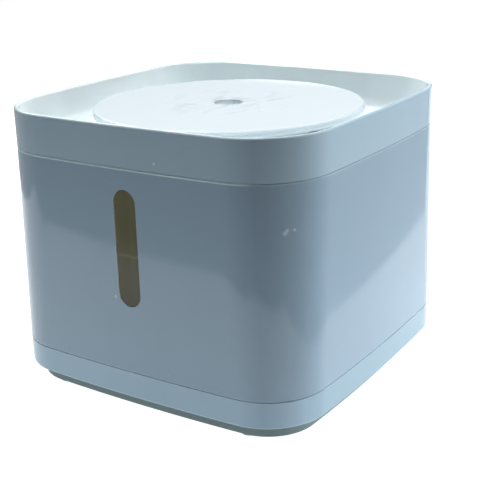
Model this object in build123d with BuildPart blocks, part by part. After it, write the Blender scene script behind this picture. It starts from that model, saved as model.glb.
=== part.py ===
"""Square pet water fountain: powered base, lift-off tank with a level window, cordless pump,
drinking tray with a filter basket, filter cartridge and a round flow plate.

Millimetres, +Z up, window towards -Y. The origin is the middle of the footprint on the floor.
"""

from math import sqrt
import os

from build123d import *

os.makedirs("parts", exist_ok=True)

# Outer body
body_width = 188.0
side_radius = 1200.0
base_corner_radius = 33.4
rim_corner_radius = 39.0
base_height = 14.4
tank_height = 108.2
rim_height = 21.0
seam_round = 0.6
band_round = 1.0
tray_edge_round = 0.4

# Clearances shared by several pieces
fit_gap = 0.3
slide_gap = 0.4
shaft_gap = 0.05

# Base plate, the recessed plinth under the base
plinth_height = 8.0
plinth_inset = 6.6
plinth_round = 1.2
plate_wall = 2.2
flange_recess = 1.0
foot_radius = 6.0
foot_proud = 1.3
foot_pocket = 1.0
foot_x = 60.0
foot_y = 78.0
screw_x = 64.0
screw_y = 56.0
screw_radius = 1.4
screw_grip = 9.0
screw_head_radius = 2.8
screw_head_height = 1.8
screw_pad_radius = 5.4
screw_pad_height = 3.2
screw_boss_radius = 4.0

# Base housing
base_wall = 2.4
deck_wall = 2.4
dock_radius = 40.0
dock_height = 4.0

# Electronics inside the base
coil_inner_radius = 10.0
coil_outer_radius = 25.0
coil_height = 2.4
ferrite_radius = 28.0
ferrite_height = 1.0
board_width = 52.0
board_thickness = 1.6
board_front_y = 46.0
board_screw_x = 21.0
board_screw_inset = 6.0
board_screw_radius = 1.2
standoff_radius = 3.0
chip_width = 7.0
chip_height = 3.0
chip_places = [(-9.0, 60.0), (10.0, 58.0)]
capacitor_radius = 2.5
capacitor_height = 5.0
capacitor_places = [(0.0, 70.0), (-14.0, 72.0)]
inlet_width = 9.0
inlet_height = 3.4
inlet_depth = 7.4
inlet_shell = 0.4
inlet_tongue_width = 6.3
inlet_tongue_depth = 5.9
inlet_mouth_width = 13.5
inlet_mouth_height = 7.5

# Tank
tank_wall = 2.6
tank_floor = 2.6
floor_lift = 1.2
window_width = 13.6
window_height = 61.0
window_drop = 10.6
window_recess = 0.25
window_lip = 3.4
window_seat = 1.2
seat_margin = 1.0
gasket_thickness = 1.0
lens_flange = 2.0
lens_gap = 0.12
locator_height = 3.0
locator_wall = 2.0
locator_gap_width = 16.0

# Pump
foot_disc_radius = 30.0
foot_disc_height = 8.0
foot_cap_thickness = 1.8
pump_wall = 2.2
volute_radius = 15.0
impeller_radius = 12.4
impeller_web = 1.2
impeller_side_gap = 0.8
vane_count = 6
vane_thickness = 1.3
hub_radius = 2.4
shaft_radius = 1.0
magnet_radius = 6.6
magnet_length = 16.0
tunnel_radius = 7.3
tunnel_wall = 4.2
bush_radius = 2.1
bush_length = 3.0
spider_wall = 1.2
spider_arm = 1.6
spider_arms = 3
eye_radius = 6.6
outlet_bore = 4.2
outlet_wall = 1.8
outlet_spigot = 9.0
cage_depth = 8.0
cage_wall = 1.4
cage_slot_width = 2.2
cage_slot_count = 12
foam_wall = 3.4
foam_front = 5.0
foam_lap = 6.0
riser_wall = 1.7
riser_lap = 8.0

# Drinking tray
rim_wall = 2.3
basin_depth = 19.5
basin_round = 5.0
tray_floor = 2.2
spigot_depth = 4.5
spigot_wall = 2.0
floor_rib_count = 4
floor_rib_width = 1.8
floor_rib_depth = 5.0

# Filter basket, seated in the tray's floor
well_radius = 57.0
well_depth = 23.0
well_wall = 2.0
well_round = 1.6
basket_flange_width = 3.0
basket_flange_height = 1.1
collar_wall = 1.6
collar_height = 15.0
drain_width = 3.4
drain_count = 16

# Filter cartridge
filter_height = 18.0
filter_gap = 0.6
filter_wall = 1.4
grille_slot_width = 2.6
grille_spokes = 24
carbon_depth = 8.6
cotton_depth = 5.0

# Flow plate
plate_radius = 73.9
plate_drop = 5.4
plate_thickness = 2.4
plate_round = 1.0
skirt_radius = 52.0
skirt_wall = 2.0
skirt_notches = 12
skirt_notch_width = 17.0
skirt_notch_height = 8.0
plate_rib_count = 8
plate_rib_width = 1.6
plate_rib_depth = 4.0
spout_boss_wall = 1.8
spout_wall = 1.8
spout_mouth_radius = 8.0
spout_throat_radius = 4.6
spout_bowl_depth = 4.4
spout_throat = 1.6
riser_socket = 5.0

# Levels, from the floor up
base_z = foot_proud + plinth_height
deck_z = base_z + base_height
seam_z = deck_z + tank_height
rim_z = seam_z + rim_height
flange_z = base_z + flange_recess
plinth_floor_z = foot_proud + plate_wall
pad_z = foot_proud + plate_wall + screw_pad_height
dock_z = deck_z + dock_height
tank_floor_z = deck_z + floor_lift + tank_floor
island_z = dock_z + fit_gap + tank_floor
foot_disc_z = island_z + foot_disc_height
tray_floor_z = rim_z - basin_depth
well_z = tray_floor_z - well_depth
filter_top_z = well_z + filter_height
plate_z = rim_z - plate_drop
plate_under_z = plate_z - plate_thickness

# Places worked out from the sizes
cage_radius = volute_radius + pump_wall
foam_radius = cage_radius + foam_wall
impeller_x = outlet_bore - volute_radius
pump_axis_z = foot_disc_z + foam_radius + fit_gap
outlet_radius = outlet_bore + outlet_wall
volute_depth = 2 * (outlet_radius + fit_gap)
spout_boss_depth = riser_socket + spout_throat + spout_bowl_depth - plate_thickness
spigot_z = pump_axis_z + cage_radius + outlet_spigot
riser_bore = outlet_radius + shaft_gap
riser_radius = riser_bore + riser_wall
riser_top_z = plate_under_z - spout_boss_depth + riser_socket - fit_gap
collar_bore = riser_radius + slide_gap
collar_radius = collar_bore + collar_wall
filter_radius = well_radius - filter_gap
filter_bore = collar_radius + slide_gap
filter_tube_radius = filter_bore + filter_wall
board_back_y = body_width / 2 - base_wall - fit_gap
board_depth = board_back_y - board_front_y
inlet_z = (base_z + deck_z) / 2
board_z = inlet_z - inlet_height / 2 - board_thickness
window_z = seam_z - window_drop - window_height / 2
window_seat_y = body_width / 2 - tank_wall - window_seat
window_outline = (window_height, window_width)
flange_outline = (window_height + 2 * window_lip, window_width + 2 * window_lip)

foot_places = GridLocations(2 * foot_x, 2 * foot_y, 2, 2)
screw_places = GridLocations(2 * screw_x, 2 * screw_y, 2, 2)
board_screw_places = [
    (side * board_screw_x, y)
    for side in (-1, 1)
    for y in (board_front_y + board_screw_inset, board_back_y - board_screw_inset)
]

impeller_plane = Plane(origin=(impeller_x, 0, pump_axis_z), x_dir=(1, 0, 0), z_dir=(0, -1, 0))
front_plane = Plane(origin=(0, 0, window_z), x_dir=(1, 0, 0), z_dir=(0, -1, 0))
back_plane = Plane(origin=(0, 0, inlet_z), x_dir=(-1, 0, 0), z_dir=(0, 1, 0))


def corner_radius_at(z):
    """Corner radius of the tank's skin, which opens evenly from the base to the rim."""
    share = (z - deck_z) / tank_height
    return base_corner_radius + (rim_corner_radius - base_corner_radius) * share


def body_profile(inset, corner_radius, mode=Mode.ADD):
    """Rounded square with gently bowed sides, drawn at an inset from the outer skin.

    Each corner arc is tangent to the two side arcs, and every inset keeps their centres.
    """
    half = body_width / 2 - inset
    bow = side_radius - inset
    corner = corner_radius - inset
    reach = side_radius - body_width / 2
    centre = (sqrt(2 * (bow - corner) ** 2 - reach**2) - reach) / 2
    side_centre = Vector(0, reach)
    corner_centre = Vector(centre, -centre)
    side_end = side_centre + (corner_centre - side_centre).normalized() * bow
    corner_middle = corner_centre + Vector(1, -1).normalized() * corner
    side_start = Vector(-side_end.X, side_end.Y)
    corner_end = Vector(-side_end.Y, -side_end.X)
    with BuildLine() as outline:
        for turn in range(0, 360, 90):
            side = [p.rotate(Axis.Z, turn) for p in (side_start, Vector(0, -half), side_end)]
            bend = [p.rotate(Axis.Z, turn) for p in (side_end, corner_middle, corner_end)]
            ThreePointArc(*side)
            ThreePointArc(*bend)
    make_face(outline.edges(), mode=mode)


def ring_profile(outer, inner):
    """Plain ring between two radii."""
    Circle(outer)
    Circle(inner, mode=Mode.SUBTRACT)


def write(piece, name):
    """Labels a finished piece and writes its STEP file."""
    piece.part.label = name
    export_step(piece.part, f"parts/{name}.step")


# Base plate: a shallow pan with a flange that closes the housing from below
with BuildPart() as base_plate:
    with BuildSketch(Plane.XY.offset(foot_proud)):
        body_profile(plinth_inset, base_corner_radius)
    extrude(amount=flange_z + plate_wall - foot_proud)
    fillet(base_plate.edges().group_by(Axis.Z)[0], plinth_round)
    with BuildSketch(Plane.XY.offset(flange_z)):
        body_profile(base_wall + fit_gap, base_corner_radius)
    extrude(amount=plate_wall)
    with BuildSketch(Plane.XY.offset(plinth_floor_z)):
        body_profile(plinth_inset + plate_wall, base_corner_radius)
    extrude(amount=flange_z + plate_wall - plinth_floor_z, mode=Mode.SUBTRACT)
    with BuildSketch(Plane.XY.offset(foot_proud + plate_wall / 2)):
        with screw_places:
            Circle(screw_pad_radius)
    extrude(amount=pad_z - foot_proud - plate_wall / 2)
    with BuildSketch(Plane.XY.offset(plinth_floor_z)):
        with Locations(*board_screw_places):
            Circle(standoff_radius)
    extrude(amount=board_z - plinth_floor_z)
    with BuildSketch(Plane.XY.offset(foot_proud)):
        with foot_places:
            Circle(foot_radius + shaft_gap)
    extrude(amount=foot_pocket, mode=Mode.SUBTRACT)
    with BuildSketch(Plane.XY.offset(foot_proud)):
        with screw_places:
            Circle(screw_head_radius + fit_gap)
    extrude(amount=screw_pad_height, mode=Mode.SUBTRACT)
    with BuildSketch(Plane.XY.offset(foot_proud)):
        with screw_places:
            Circle(screw_radius + fit_gap)
    extrude(amount=pad_z, mode=Mode.SUBTRACT)
    with BuildSketch(Plane.XY.offset(plinth_floor_z)):
        with Locations(*board_screw_places):
            Circle(board_screw_radius + shaft_gap)
    extrude(amount=board_z, mode=Mode.SUBTRACT)
write(base_plate, "base_plate")

with BuildPart() as rubber_feet:
    with BuildSketch():
        with foot_places:
            Circle(foot_radius)
    extrude(amount=foot_proud + foot_pocket)
    fillet(rubber_feet.edges().group_by(Axis.Z)[0], seam_round)
write(rubber_feet, "rubber_feet")

head_z = foot_proud + screw_pad_height - screw_head_height
with BuildPart() as base_screws:
    with BuildSketch(Plane.XY.offset(head_z)):
        with screw_places:
            Circle(screw_head_radius)
    extrude(amount=screw_head_height)
    with BuildSketch(Plane.XY.offset(foot_proud + screw_pad_height)):
        with screw_places:
            Circle(screw_radius)
    extrude(amount=screw_grip)
    with BuildSketch(Plane.XY.offset(head_z)):
        with screw_places:
            Rectangle(screw_head_radius, screw_radius / 2)
            Rectangle(screw_radius / 2, screw_head_radius)
    extrude(amount=screw_head_height / 2, mode=Mode.SUBTRACT)
write(base_screws, "base_screws")

# Base housing: the band under the tank, its deck and the raised charging dock
with BuildPart() as base_housing:
    with BuildSketch(Plane.XY.offset(base_z)):
        body_profile(0, base_corner_radius)
    extrude(amount=base_height)
    fillet(base_housing.edges().group_by(Axis.Z)[0], band_round)
    fillet(base_housing.edges().group_by(Axis.Z)[-1], seam_round)
    with BuildSketch(Plane.XY.offset(deck_z)):
        Circle(dock_radius)
    extrude(amount=dock_height)
    fillet(base_housing.edges().group_by(Axis.Z)[-1], plinth_round)
    with BuildSketch(Plane.XY.offset(base_z)):
        body_profile(base_wall, base_corner_radius)
    extrude(amount=base_height - deck_wall, mode=Mode.SUBTRACT)
    with BuildSketch(Plane.XY.offset(deck_z - deck_wall)):
        Circle(dock_radius - deck_wall)
    extrude(amount=dock_height, mode=Mode.SUBTRACT)
    with BuildSketch(Plane.XY.offset(pad_z)):
        with screw_places:
            Circle(screw_boss_radius)
    extrude(amount=deck_z - deck_wall - pad_z)
    with BuildSketch(Plane.XY.offset(pad_z)):
        with screw_places:
            Circle(screw_radius + shaft_gap)
    extrude(amount=screw_grip, mode=Mode.SUBTRACT)
    with BuildSketch(back_plane.offset(body_width / 2 - 2 * base_wall)):
        SlotOverall(inlet_mouth_width, inlet_mouth_height)
    extrude(amount=3 * base_wall, mode=Mode.SUBTRACT)
write(base_housing, "base_housing")

# Charging coil under the dock, with its ferrite backing
coil_z = dock_z - deck_wall - coil_height
with BuildPart() as transmit_coil:
    with BuildSketch(Plane.XY.offset(coil_z)):
        ring_profile(coil_outer_radius, coil_inner_radius)
    extrude(amount=coil_height)
write(transmit_coil, "transmit_coil")

with BuildPart() as ferrite_plate:
    with BuildSketch(Plane.XY.offset(coil_z - ferrite_height)):
        Circle(ferrite_radius)
    extrude(amount=ferrite_height)
write(ferrite_plate, "ferrite_plate")

# Driver board on four standoffs, with its parts and the power inlet at its back edge
with BuildPart() as driver_board:
    with BuildSketch(Plane.XY.offset(board_z)):
        with Locations((0, board_front_y + board_depth / 2)):
            RectangleRounded(board_width, board_depth, standoff_radius)
        with Locations(*board_screw_places):
            Circle(board_screw_radius + shaft_gap, mode=Mode.SUBTRACT)
    extrude(amount=board_thickness)
write(driver_board, "driver_board")

with BuildPart() as board_components:
    with BuildSketch(Plane.XY.offset(board_z + board_thickness)):
        with Locations(*chip_places):
            Rectangle(chip_width, chip_width)
    extrude(amount=chip_height)
    with BuildSketch(Plane.XY.offset(board_z + board_thickness)):
        with Locations(*capacitor_places):
            Circle(capacitor_radius)
    extrude(amount=capacitor_height)
write(board_components, "board_components")

with BuildPart() as board_screws:
    with BuildSketch(Plane.XY.offset(board_z + board_thickness)):
        with Locations(*board_screw_places):
            Circle(2 * board_screw_radius)
    extrude(amount=board_screw_radius)
    with BuildSketch(Plane.XY.offset(plinth_floor_z + standoff_radius)):
        with Locations(*board_screw_places):
            Circle(board_screw_radius)
    extrude(amount=board_z + board_thickness - plinth_floor_z - standoff_radius)
write(board_screws, "board_screws")

with BuildPart() as power_inlet:
    with BuildSketch(back_plane.offset(board_back_y - inlet_depth)):
        SlotOverall(inlet_width, inlet_height)
    extrude(amount=inlet_depth)
    with BuildSketch(back_plane.offset(board_back_y - inlet_depth + 2 * inlet_shell)):
        SlotOverall(inlet_width - 2 * inlet_shell, inlet_height - 2 * inlet_shell)
    extrude(amount=inlet_depth, mode=Mode.SUBTRACT)
    with BuildSketch(back_plane.offset(board_back_y - inlet_depth + inlet_shell)):
        Rectangle(inlet_tongue_width, 2 * inlet_shell)
    extrude(amount=inlet_tongue_depth)
write(power_inlet, "power_inlet")

# Tank: one moulding with a raised island over the dock and a seat for the window
with BuildPart() as tank_shell:
    with BuildSketch(Plane.XY.offset(deck_z)):
        body_profile(0, base_corner_radius)
    with BuildSketch(Plane.XY.offset(seam_z)):
        body_profile(0, rim_corner_radius)
    loft(ruled=True)
    fillet(tank_shell.edges().group_by(Axis.Z)[0], seam_round)
    fillet(tank_shell.edges().group_by(Axis.Z)[-1], seam_round)
    with BuildSketch(Plane.XY.offset(tank_floor_z)):
        body_profile(tank_wall, corner_radius_at(tank_floor_z))
    with BuildSketch(Plane.XY.offset(seam_z)):
        body_profile(tank_wall, rim_corner_radius)
    loft(ruled=True, mode=Mode.SUBTRACT)
    with BuildSketch(Plane.XY.offset(deck_z)):
        body_profile(tank_wall, base_corner_radius)
    extrude(amount=floor_lift, mode=Mode.SUBTRACT)
    with BuildSketch(Plane.XY.offset(tank_floor_z - tank_floor)):
        Circle(dock_radius + slide_gap + tank_floor)
    extrude(amount=island_z - tank_floor_z + tank_floor)
    fillet(
        tank_shell.edges().filter_by(GeomType.CIRCLE).filter_by_position(
            Axis.Z, island_z - fit_gap, island_z + fit_gap
        ),
        plinth_round,
    )
    with BuildSketch(Plane.XY.offset(deck_z)):
        Circle(dock_radius + slide_gap)
    extrude(amount=dock_height + fit_gap, mode=Mode.SUBTRACT)
    with BuildSketch(Plane.XY.offset(island_z)):
        ring_profile(
            foot_disc_radius + slide_gap + locator_wall, foot_disc_radius + slide_gap
        )
        Rectangle(2 * body_width, locator_gap_width, mode=Mode.SUBTRACT)
        Rectangle(locator_gap_width, 2 * body_width, mode=Mode.SUBTRACT)
    extrude(amount=locator_height)
    with BuildSketch(front_plane.offset(window_seat_y)):
        SlotOverall(*flange_outline, rotation=90)
        offset(amount=seat_margin)
    extrude(amount=window_seat + tank_wall / 2)
    with BuildSketch(front_plane.offset(window_seat_y)):
        SlotOverall(*window_outline, rotation=90)
    extrude(amount=2 * tank_wall + window_seat, mode=Mode.SUBTRACT)
write(tank_shell, "tank_shell")

with BuildPart() as window_gasket:
    with BuildSketch(front_plane.offset(window_seat_y - gasket_thickness)):
        SlotOverall(*flange_outline, rotation=90)
        SlotOverall(*window_outline, rotation=90, mode=Mode.SUBTRACT)
    extrude(amount=gasket_thickness)
write(window_gasket, "window_gasket")

with BuildPart() as window_lens:
    with BuildSketch(front_plane.offset(window_seat_y - gasket_thickness - lens_flange)):
        SlotOverall(*flange_outline, rotation=90)
    extrude(amount=lens_flange)
    with BuildSketch(front_plane.offset(window_seat_y - gasket_thickness)):
        SlotOverall(*window_outline, rotation=90)
        offset(amount=-lens_gap)
    extrude(amount=body_width / 2 - window_recess - window_seat_y + gasket_thickness)
    fillet(window_lens.faces().sort_by(Axis.Y)[0].edges(), window_recess)
write(window_lens, "window_lens")

# Pump: foot with the receiving coil, volute chamber, magnet tunnel and outlet spigot
volute_back = -volute_depth / 2
volute_front = volute_depth / 2
tunnel_end = volute_back - magnet_length - 2 * impeller_side_gap
with BuildPart() as pump_housing:
    with BuildSketch(Plane.XY.offset(island_z + foot_cap_thickness)):
        Circle(foot_disc_radius)
    extrude(amount=foot_disc_height - foot_cap_thickness)
    fillet(pump_housing.edges().group_by(Axis.Z)[-1], plinth_round)
    with BuildSketch(Plane.XY.offset(foot_disc_z)):
        with Locations((impeller_x, magnet_length / 2)):
            RectangleRounded(2 * tunnel_radius, magnet_length + volute_depth, pump_wall)
    extrude(amount=pump_axis_z - foot_disc_z)
    with BuildSketch(impeller_plane.offset(volute_back - pump_wall)):
        Circle(cage_radius)
    extrude(amount=volute_depth + pump_wall)
    with BuildSketch(impeller_plane.offset(tunnel_end - bush_length - pump_wall)):
        Circle(tunnel_radius + tunnel_wall)
    extrude(amount=volute_back - tunnel_end + bush_length + pump_wall)
    fillet(pump_housing.edges().filter_by(GeomType.CIRCLE).group_by(Axis.Y)[-1], plinth_round)
    with BuildSketch(Plane.XY.offset(pump_axis_z)):
        Circle(outlet_radius)
    extrude(amount=spigot_z - pump_axis_z)
    with BuildSketch(impeller_plane.offset(volute_back)):
        Circle(volute_radius)
    extrude(amount=volute_depth, mode=Mode.SUBTRACT)
    with BuildSketch(impeller_plane.offset(tunnel_end)):
        Circle(tunnel_radius)
    extrude(amount=volute_back - tunnel_end, mode=Mode.SUBTRACT)
    with BuildSketch(impeller_plane.offset(tunnel_end - bush_length)):
        Circle(bush_radius + shaft_gap)
    extrude(amount=bush_length, mode=Mode.SUBTRACT)
    with BuildSketch(Plane.XY.offset(pump_axis_z)):
        Circle(outlet_bore)
    extrude(amount=spigot_z - pump_axis_z, mode=Mode.SUBTRACT)
    with BuildSketch(Plane.XY.offset(island_z + foot_cap_thickness)):
        Circle(foot_disc_radius - pump_wall)
    extrude(amount=coil_height + fit_gap, mode=Mode.SUBTRACT)
write(pump_housing, "pump_housing")

with BuildPart() as pump_foot_cap:
    with BuildSketch(Plane.XY.offset(island_z)):
        Circle(foot_disc_radius)
    extrude(amount=foot_cap_thickness)
    fillet(pump_foot_cap.edges().group_by(Axis.Z)[0], seam_round)
write(pump_foot_cap, "pump_foot_cap")

with BuildPart() as receiver_coil:
    with BuildSketch(Plane.XY.offset(island_z + foot_cap_thickness)):
        ring_profile(coil_outer_radius, coil_inner_radius)
    extrude(amount=coil_height)
write(receiver_coil, "receiver_coil")

# Rotor: shaft in two rubber bushes, impeller moulded on the magnet's sleeve
with BuildPart() as rear_bush:
    with BuildSketch(impeller_plane.offset(tunnel_end - bush_length)):
        ring_profile(bush_radius, shaft_radius)
    extrude(amount=bush_length)
write(rear_bush, "rear_bush")

with BuildPart() as front_bush:
    with BuildSketch(impeller_plane.offset(volute_front)):
        ring_profile(bush_radius, shaft_radius)
    extrude(amount=pump_wall)
write(front_bush, "front_bush")

with BuildPart() as pump_shaft:
    with BuildSketch(impeller_plane.offset(tunnel_end - bush_length)):
        Circle(shaft_radius)
    extrude(amount=volute_front + pump_wall - tunnel_end + bush_length)
write(pump_shaft, "pump_shaft")

web_back = volute_back + impeller_side_gap
vane_front = volute_front - impeller_side_gap
with BuildPart() as impeller:
    with BuildSketch(impeller_plane.offset(web_back)):
        Circle(impeller_radius)
    extrude(amount=impeller_web)
    with BuildSketch(impeller_plane.offset(tunnel_end + impeller_side_gap)):
        Circle(hub_radius)
    extrude(amount=vane_front - tunnel_end - impeller_side_gap)
    with BuildSketch(impeller_plane.offset(web_back + impeller_web)):
        with BuildLine() as vane_line:
            RadiusArc(
                (0, hub_radius - vane_thickness / 2),
                (impeller_radius * 0.45, impeller_radius * 0.85),
                -impeller_radius,
            )
        with PolarLocations(0, vane_count):
            trace(vane_line.edges(), vane_thickness)
    extrude(amount=vane_front - web_back - impeller_web)
    with BuildSketch(impeller_plane.offset(tunnel_end)):
        Circle(shaft_radius + shaft_gap)
    extrude(amount=2 * volute_depth + magnet_length, mode=Mode.SUBTRACT)
write(impeller, "impeller")

with BuildPart() as rotor_magnet:
    with BuildSketch(impeller_plane.offset(web_back - magnet_length)):
        ring_profile(magnet_radius, hub_radius)
    extrude(amount=magnet_length)
write(rotor_magnet, "rotor_magnet")

# Front of the pump: chamber cover with the eye and its spider, slotted cage and foam
spider_radius = bush_radius + shaft_gap + spider_wall
with BuildPart() as volute_cover:
    with BuildSketch(impeller_plane.offset(volute_front)):
        ring_profile(cage_radius, eye_radius)
        Circle(spider_radius)
        with PolarLocations((spider_radius + eye_radius) / 2, spider_arms):
            Rectangle(eye_radius - bush_radius, spider_arm)
        Circle(bush_radius + shaft_gap, mode=Mode.SUBTRACT)
    extrude(amount=pump_wall)
write(volute_cover, "volute_cover")

cage_back = volute_front + pump_wall
cage_slot_length = cage_radius - 5 * cage_wall
with BuildPart() as inlet_cage:
    with BuildSketch(impeller_plane.offset(cage_back)):
        ring_profile(cage_radius, cage_radius - cage_wall)
    extrude(amount=cage_depth)
    with BuildSketch(impeller_plane.offset(cage_back + cage_depth - cage_wall)):
        Circle(cage_radius)
        with PolarLocations((cage_radius + cage_wall) / 2, cage_slot_count):
            SlotOverall(cage_slot_length, cage_slot_width, mode=Mode.SUBTRACT)
    extrude(amount=cage_wall)
    cage_front = inlet_cage.edges().filter_by(GeomType.CIRCLE).group_by(Axis.Y)[0]
    fillet(cage_front.sort_by(SortBy.LENGTH)[-1], cage_wall / 2)
write(inlet_cage, "inlet_cage")

foam_face = cage_back + cage_depth + fit_gap
with BuildPart() as foam_prefilter:
    with BuildSketch(impeller_plane.offset(foam_face - foam_lap)):
        Circle(foam_radius)
    extrude(amount=foam_lap + foam_front)
    with BuildSketch(impeller_plane.offset(foam_face - foam_lap)):
        Circle(cage_radius + fit_gap)
    extrude(amount=foam_lap, mode=Mode.SUBTRACT)
    fillet(foam_prefilter.edges().group_by(Axis.Y)[0], plinth_round)
write(foam_prefilter, "foam_prefilter")

with BuildPart() as riser_tube:
    with BuildSketch(Plane.XY.offset(spigot_z - riser_lap)):
        Circle(riser_radius)
    extrude(amount=riser_top_z - spigot_z + riser_lap)
    with BuildSketch(Plane.XY.offset(spigot_z - riser_lap)):
        Circle(riser_bore)
    extrude(amount=riser_lap, mode=Mode.SUBTRACT)
    with BuildSketch(Plane.XY.offset(spigot_z)):
        Circle(outlet_bore)
    extrude(amount=riser_top_z - spigot_z, mode=Mode.SUBTRACT)
write(riser_tube, "riser_tube")

# Drinking tray: rim, basin and spigot into the tank, with the slotted filter basket in its floor
floor_under_z = tray_floor_z - tray_floor
basket_radius = well_radius + well_wall
tray_hole_radius = basket_radius + fit_gap
floor_rib_start = tray_hole_radius + fit_gap
floor_rib_end = body_width / 2 - tank_wall - slide_gap - spigot_wall / 2
with BuildPart() as drinking_tray:
    with BuildSketch(Plane.XY.offset(seam_z)):
        body_profile(0, rim_corner_radius)
    extrude(amount=rim_height)
    fillet(drinking_tray.edges().group_by(Axis.Z)[0], tray_edge_round)
    with BuildSketch(Plane.XY.offset(tray_floor_z)):
        body_profile(rim_wall, rim_corner_radius)
    extrude(amount=basin_depth, mode=Mode.SUBTRACT)
    fillet(drinking_tray.edges().group_by(Axis.Z)[-1], rim_wall * 0.45)
    basin_edges = drinking_tray.edges().filter_by_position(
        Axis.Z, tray_floor_z - fit_gap, tray_floor_z + fit_gap
    )
    fillet(basin_edges, basin_round)
    with BuildSketch(Plane.XY.offset(seam_z - spigot_depth)):
        body_profile(tank_wall + slide_gap, rim_corner_radius)
        body_profile(tank_wall + slide_gap + spigot_wall, rim_corner_radius, Mode.SUBTRACT)
    extrude(amount=spigot_depth)
    with BuildSketch(Plane.XY.offset(floor_under_z)):
        body_profile(tank_wall + slide_gap, rim_corner_radius)
    extrude(amount=seam_z - floor_under_z)
    with BuildSketch(Plane.XY.offset(floor_under_z - floor_rib_depth)):
        with PolarLocations((floor_rib_start + floor_rib_end) / 2, floor_rib_count):
            Rectangle(floor_rib_end - floor_rib_start, floor_rib_width)
    extrude(amount=floor_rib_depth)
    with BuildSketch(Plane.XY.offset(floor_under_z)):
        Circle(tray_hole_radius)
    extrude(amount=tray_floor, mode=Mode.SUBTRACT)
    with BuildSketch(Plane.XY.offset(tray_floor_z - basket_flange_height)):
        Circle(tray_hole_radius + basket_flange_width)
    extrude(amount=basket_flange_height, mode=Mode.SUBTRACT)
write(drinking_tray, "drinking_tray")

drain_start = collar_radius + 2 * collar_wall
drain_length = (well_radius - drain_start) / 2 - drain_width
with BuildPart() as filter_basket:
    with BuildSketch(Plane.XY.offset(well_z - well_wall)):
        Circle(basket_radius)
    extrude(amount=well_depth + well_wall)
    with BuildSketch(Plane.XY.offset(tray_floor_z - basket_flange_height)):
        Circle(basket_radius + basket_flange_width)
    extrude(amount=basket_flange_height)
    with BuildSketch(Plane.XY.offset(well_z)):
        Circle(well_radius)
    extrude(amount=well_depth, mode=Mode.SUBTRACT)
    basket_edges = filter_basket.edges().filter_by(GeomType.CIRCLE).group_by(Axis.Z)[-1]
    fillet(basket_edges.sort_by(SortBy.RADIUS)[0], well_round)
    with BuildSketch(Plane.XY.offset(well_z)):
        Circle(collar_radius)
    extrude(amount=collar_height)
    with BuildSketch(Plane.XY.offset(well_z - well_wall)):
        Circle(collar_bore)
    extrude(amount=well_wall + collar_height, mode=Mode.SUBTRACT)
    with BuildSketch(Plane.XY.offset(well_z - well_wall)):
        with PolarLocations(drain_start + drain_length / 2, drain_count // 2):
            SlotOverall(drain_length, drain_width)
        with PolarLocations(well_radius - drain_width - drain_length / 2, drain_count):
            SlotOverall(drain_length, drain_width)
    extrude(amount=well_wall, mode=Mode.SUBTRACT)
write(filter_basket, "filter_basket")

# Filter cartridge: slotted cup, carbon granules, cotton pad and slotted cover
carbon_z = well_z + filter_wall
cotton_z = carbon_z + carbon_depth + fit_gap
cover_z = filter_top_z - filter_wall
grille_start = filter_tube_radius + 2 * filter_wall
grille_length = filter_radius - 3 * filter_wall - grille_start
cover_lip_radius = filter_radius - filter_wall - shaft_gap
cotton_radius = filter_radius - 2 * filter_wall - 2 * fit_gap


def grille_slots():
    """Radial slots of the cartridge's cup and cover, short ones between long ones."""
    middle = grille_start + grille_length / 2
    outer_half = grille_start + grille_length * 0.75
    with PolarLocations(middle, grille_spokes // 2):
        SlotOverall(grille_length, grille_slot_width, mode=Mode.SUBTRACT)
    with PolarLocations(outer_half, grille_spokes // 2, start_angle=360 / grille_spokes):
        SlotOverall(grille_length / 2, grille_slot_width, mode=Mode.SUBTRACT)


with BuildPart() as filter_cup:
    with BuildSketch(Plane.XY.offset(well_z)):
        ring_profile(filter_radius, filter_radius - filter_wall)
        ring_profile(filter_tube_radius, filter_bore)
    extrude(amount=filter_height - filter_wall)
    with BuildSketch(Plane.XY.offset(well_z)):
        ring_profile(filter_radius, filter_bore)
        grille_slots()
    extrude(amount=filter_wall)
write(filter_cup, "filter_cup")

with BuildPart() as filter_cover:
    with BuildSketch(Plane.XY.offset(cover_z)):
        ring_profile(filter_radius, filter_bore)
        grille_slots()
    extrude(amount=filter_wall)
    with BuildSketch(Plane.XY.offset(cover_z - 2 * filter_wall)):
        ring_profile(cover_lip_radius, cover_lip_radius - filter_wall)
    extrude(amount=2 * filter_wall)
write(filter_cover, "filter_cover")

with BuildPart() as carbon_granules:
    with BuildSketch(Plane.XY.offset(carbon_z)):
        ring_profile(filter_radius - filter_wall - fit_gap, filter_tube_radius + fit_gap)
    extrude(amount=carbon_depth)
write(carbon_granules, "carbon_granules")

with BuildPart() as cotton_pad:
    with BuildSketch(Plane.XY.offset(cotton_z)):
        ring_profile(cotton_radius, filter_tube_radius + fit_gap)
    extrude(amount=cotton_depth)
write(cotton_pad, "cotton_pad")

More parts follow.
